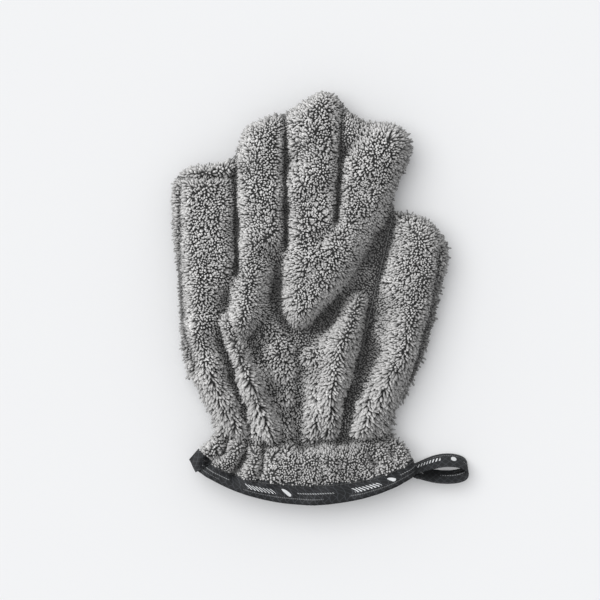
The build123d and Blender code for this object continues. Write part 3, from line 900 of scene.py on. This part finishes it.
# Binding: tape folded round the hem. Its section, as distance above the hem and distance out of the ground:
# the outer face from inside the cuff, round the hem and up its outside, then the face that lies on the ground
TAPE_OUTER = [(9, -2.5), (4, -2.5), (0.6, -2.3), (-0.8, -1.6), (-1.3, -0.6), (-0.9, 0.7), (0.6, 1.4)]
TAPE_OUTER += [(3, 1.5), (5.5, 1.5), (8, 1.5), (10.5, 1.5), (13, 1.3), (14, 0.8)]
TAPE_INNER = [(13.8, 0.3), (9, 0.6), (4, 0.6), (0.8, 0.6), (-0.5, -0.1), (-0.7, -0.6), (-0.4, -1.3)]
TAPE_INNER += [(0.8, -1.8), (9, -1.9)]
TAPE_SECTION = TAPE_OUTER + TAPE_INNER
FIRST_MARK = 33.0  # where the tape's printed repeat stands at the cuff's left end
TAPE = tape_material()
THREAD = plain_fabric("dark_thread", 0.05, 0.6)
GREY_THREAD = plain_fabric("grey_thread", 0.16, 0.7)
ELASTIC = elastic_material()

rows = [hem_row(v, out) for v, out in TAPE_SECTION]
tape_u = []
tape_v = []
for (v, out), row in zip(TAPE_SECTION, rows):
    step = np.linalg.norm(np.diff(row, axis=0), axis=1)
    tape_u.append(np.concatenate([[0], np.cumsum(step)]) + FIRST_MARK)
    tape_v.append(np.full(len(row), max(v, 0.0) if out > 0 else 0.0))
along_tape = {"tape_u": np.concatenate(tape_u), "tape_v": np.concatenate(tape_v)}
binding = wall(rows, "tape_binding", TAPE, along_tape)
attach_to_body(binding, "cuff")
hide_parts("cuff_binding")

stitch_ring = hem_row(12.0, 1.75)
row_stitches = stitches("tape_stitches", [np.vstack([stitch_ring, stitch_ring[:1]])], 3.0, 0.28, THREAD)
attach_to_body(row_stitches, "cuff")
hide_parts("binding_stitching")

# The tape's turned corner at the left end. Its tape_v lies outside the band of marks, so it has none.
CORNER_SIDE = 9  # grid points along each side
CORNER_THICKNESS = 1.1
share = np.linspace(0, 1, CORNER_SIDE)
across, along = np.meshgrid(share, share)
c0, c1, c2, c3 = TURNED_CORNER
mix = [(1 - across) * (1 - along), (1 - across) * along, across * along, across * (1 - along)]
patch = sum(m.ravel()[:, None] * c for m, c in zip(mix, (c0, c1, c2, c3)))
lift = heights(inward(patch, 1.5))[0] + 2.5 + 0.8 * np.sin(pi * across.ravel()) * np.sin(pi * along.ravel())
over = np.column_stack([patch, SEAM + lift])
under = over - (0, 0, CORNER_THICKNESS)
count = len(over)
grid = np.arange(count).reshape(CORNER_SIDE, CORNER_SIDE)
cells = np.stack([grid[:-1, :-1], grid[1:, :-1], grid[1:, 1:], grid[:-1, 1:]], -1).reshape(-1, 4)[:, ::-1]
rim = np.concatenate([grid[0, :], grid[1:, -1], grid[-1, -2::-1], grid[-2:0:-1, 0]])
sides = np.stack([rim, np.roll(rim, -1), np.roll(rim, -1) + count, rim + count], 1)
corner_u = np.tile(17 * across.ravel() + 60, 2)
corner_v = np.tile(104 + 15 * along.ravel(), 2)
corner = make_mesh(
    "tape_corner",
    np.vstack([over, under]),
    [cells, cells[:, ::-1] + count, sides],
    TAPE,
    {"tape_u": corner_u, "tape_v": corner_v},
)
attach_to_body(corner, "cuff")

# Hanging loop: a teardrop of the tape standing on its edge, leaning towards the hem
LOOP_PATH = [(74, -85.8), (84, -82), (94, -79.4), (103, -79.4), (109.6, -81.6), (111.6, -85), (109.6, -88.4)]
LOOP_PATH += [(103, -90.4), (94, -90.6), (84, -89.4), (74, -87.6)]
LOOP_WIDTH = 15.0
LOOP_START = 74  # the ribbon's sewn end, and over the next 16 mm it drops to the floor and widens
LEAN = radians(30)
loop_plan = spline(LOOP_PATH, 1.2)
tucked = np.clip((loop_plan[:, 0] - LOOP_START) / 16, 0, 1)
tucked = tucked * tucked * (3 - 2 * tucked)
loop_low = np.column_stack([loop_plan, 8.5 - 7.2 * tucked])
rise = np.array([0, -sin(LEAN), cos(LEAN)]) * (LOOP_WIDTH * (0.8 + 0.2 * tucked))[:, None]
loop_ahead = unit(np.gradient(loop_low, axis=0))
loop_side = unit(np.cross(loop_ahead, rise))
loop_rings = []
loop_v = []
for face in (1, -1):
    for share in (0.0, 0.08, 0.3, 0.5, 0.7, 0.92, 1.0)[::face]:
        thick = 0.55 if 0 < share < 1 else 0.3
        loop_rings.append(loop_low + rise * share + loop_side * thick * face)
        loop_v.append(np.full(len(loop_plan), LOOP_WIDTH * share))
loop_u = np.concatenate([[0], np.cumsum(np.linalg.norm(np.diff(loop_low, axis=0), axis=1))]) + 6
loop_ob = wall(
    loop_rings,
    "tape_loop",
    TAPE,
    {"tape_u": np.tile(loop_u, len(loop_rings)), "tape_v": np.concatenate(loop_v)},
    closed_ends=True,
)
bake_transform(loop_ob)
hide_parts("hanging_loop", "loop_tail")

# Bartack: close rows of thread across the loop's sewn ends
tack_rows = []
for share in np.linspace(0.08, 0.92, 9):
    centre = np.array([78.0, -86.9, 8.0]) + np.array([0, -sin(LEAN), cos(LEAN)]) * 12 * share
    for y_out in (2.0, -2.0):
        slant = 0.35 if y_out > 0 else -0.35
        tack_rows.append(np.array([centre + (-2.2, y_out, -slant), centre + (2.25, y_out, slant)]))
bartack = stitches("bartack_threads", tack_rows, 2.1, 0.34, THREAD)
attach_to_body(bartack, "cuff")
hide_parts("loop_bartack")

# Perimeter seam: thread round the edge where front and back meet
edge_plan = inward(OUTLINE, PILE_REACH - 0.4)
on_cuff = hem_distance(edge_plan) > 1
edge_plan = edge_plan[on_cuff]
seam_path = np.column_stack([edge_plan, np.full(len(edge_plan), SEAM)])
seam_zone = zone_of(edge_plan)


def runs(path, keep):
    """The unbroken runs of a path's points that are kept."""
    marks = np.flatnonzero(np.diff(np.concatenate([[0], keep.astype(int), [0]])))
    return [path[a:b] for a, b in zip(marks[::2], marks[1::2]) if b - a > 3]


for zone in ZONES:
    seam = stitches(f"seam_{zone}", runs(seam_path, seam_zone == zone), 2.8, 0.42, GREY_THREAD)
    attach(seam, zone)
    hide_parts(f"perimeter_seam_{node_zone(zone)}")

# Rows of stitches between the fingers and along the thumb's crease
for zone in ("knuckles", "fingertips"):
    paths = []
    for line in DIVISION_LINES:
        surface = np.column_stack([line, SEAM + heights(line)[0] + 0.3])
        paths += runs(surface, (zone_of(line) == zone) & (edge_distance(line) > 1))
    rows_between = stitches(f"division_stitches_{zone}", paths, 3.2, 0.36, GREY_THREAD)
    attach(rows_between, zone)
    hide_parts(f"division_stitching_{zone}")
fine_crease = spline(THUMB_CREASE, 2)
crease_surface = np.column_stack([fine_crease, SEAM + heights(fine_crease)[0] + 0.3])
crease_runs = runs(crease_surface, edge_distance(fine_crease) > 2)
crease = stitches("crease_stitches", crease_runs, 3.2, 0.36, GREY_THREAD)
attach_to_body(crease, "palm")
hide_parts("thumb_crease_stitching")

# Elastic: a ribbed band inside the mitt at the wrist
ELASTIC_Y = -50.0
ELASTIC_HALF = 4.5


def wrist_row(y, out):
    """Ring round the wrist at a height y, a distance out of the ground."""
    xs = np.linspace(-95, 100, 800)
    line = np.column_stack([xs, np.full(len(xs), y)])
    within = xs[edge_distance(line) > 0.1]
    xs = even_ends(within[0], within[-1], 90)
    ring = ring_round(np.column_stack([xs, np.full(len(xs), y)]))
    tangent = np.roll(ring, -1, axis=0) - np.roll(ring, 1, axis=0)
    return ring + unit(np.cross((0, -1, 0), tangent)) * out


ribs = np.linspace(-1, 1, 15)
band = []
for i, share in enumerate(ribs):
    band.append(wrist_row(ELASTIC_Y - ELASTIC_HALF * share, -2.3 - 0.25 * (i % 2)))
for share in ribs[::-1]:
    band.append(wrist_row(ELASTIC_Y - ELASTIC_HALF * share, -1.6))
elastic = wall(band[::-1], "elastic_band", ELASTIC)
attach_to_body(elastic, "palm")
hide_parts("wrist_elastic")
rings = [wrist_row(ELASTIC_Y - share * ELASTIC_HALF, -2.7) for share in (-0.6, 0.6)]
closed_rings = [np.vstack([ring, ring[:1]]) for ring in rings]
elastic_rows = stitches("elastic_stitches", closed_rings, 3.0, 0.25, GREY_THREAD)
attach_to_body(elastic_rows, "palm")
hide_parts("elastic_stitching")

# Stage, light and camera
floor = bpy.data.meshes.new("floor")
FLOOR_HALF = 3.0  # m
FLOOR_Z = -0.0005  # m, just under the mitt
floor_corners = [(x * FLOOR_HALF, y * FLOOR_HALF, FLOOR_Z) for x, y in ((-1, -1), (1, -1), (1, 1), (-1, 1))]
floor.from_pydata(floor_corners, [], [(0, 1, 2, 3)])
floor_ob = bpy.data.objects.new("floor", floor)
bpy.context.scene.collection.objects.link(floor_ob)
floor_ob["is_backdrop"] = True
floor_mat, nt, shader = principled("pale_floor", 0.8)
shader.inputs["Base Color"].default_value = (0.87, 0.875, 0.885, 1)
shader.inputs["Specular IOR Level"].default_value = 0.1
floor.materials.append(floor_mat)


def sun(name, azimuth, elevation, spread, power):
    """Distant light. Azimuth is the side it comes from, anticlockwise from +X."""
    light = bpy.data.lights.new(name, "SUN")
    light.angle = radians(spread)
    light.energy = power
    ob = bpy.data.objects.new(name, light)
    bpy.context.scene.collection.objects.link(ob)
    ob.rotation_euler = (0, radians(90 - elevation), radians(azimuth))
    return ob


sun("soft_key", 142, 66, 60, 1.68)
relief = sun("relief_key", 152, 34, 10, 2.75)
lit = bpy.data.collections.new("mitt_only")
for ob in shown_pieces():
    lit.objects.link(ob)
relief.light_linking.receiver_collection = lit
world = bpy.data.worlds.new("studio")
bpy.context.scene.world = world
world.use_nodes = True
backdrop = world.node_tree.nodes["Background"]
backdrop.inputs["Color"].default_value = (0.985, 0.992, 1, 1)
# The room gives a soft fill, and looks as pale as the floor where the camera sees it
paths = world.node_tree.nodes.new("ShaderNodeLightPath")
strength = math_node(world.node_tree, "MULTIPLY_ADD", paths.outputs["Is Camera Ray"], 0.36)
strength.node.inputs[2].default_value = 0.55
world.node_tree.links.new(strength, backdrop.inputs["Strength"])

# The camera looks straight down, in metres, and takes in a square frame at the height of the mitt's middle
VIEW_HEIGHT = 1.15
VIEW_WIDTH = 0.408
MITT_MIDDLE = (-0.0034, 0.0272, 0.02)
SENSOR = 36
camera = bpy.data.cameras.new("camera")
camera.sensor_width = SENSOR
camera.lens = SENSOR * VIEW_HEIGHT / VIEW_WIDTH
camera_ob = bpy.data.objects.new("camera", camera)
bpy.context.scene.collection.objects.link(camera_ob)
camera_ob.location = (MITT_MIDDLE[0], MITT_MIDDLE[1], VIEW_HEIGHT + MITT_MIDDLE[2])
camera_ob.rotation_euler = (0, 0, 0)
bpy.context.scene.camera = camera_ob
bpy.context.scene.view_settings.view_transform = "Standard"
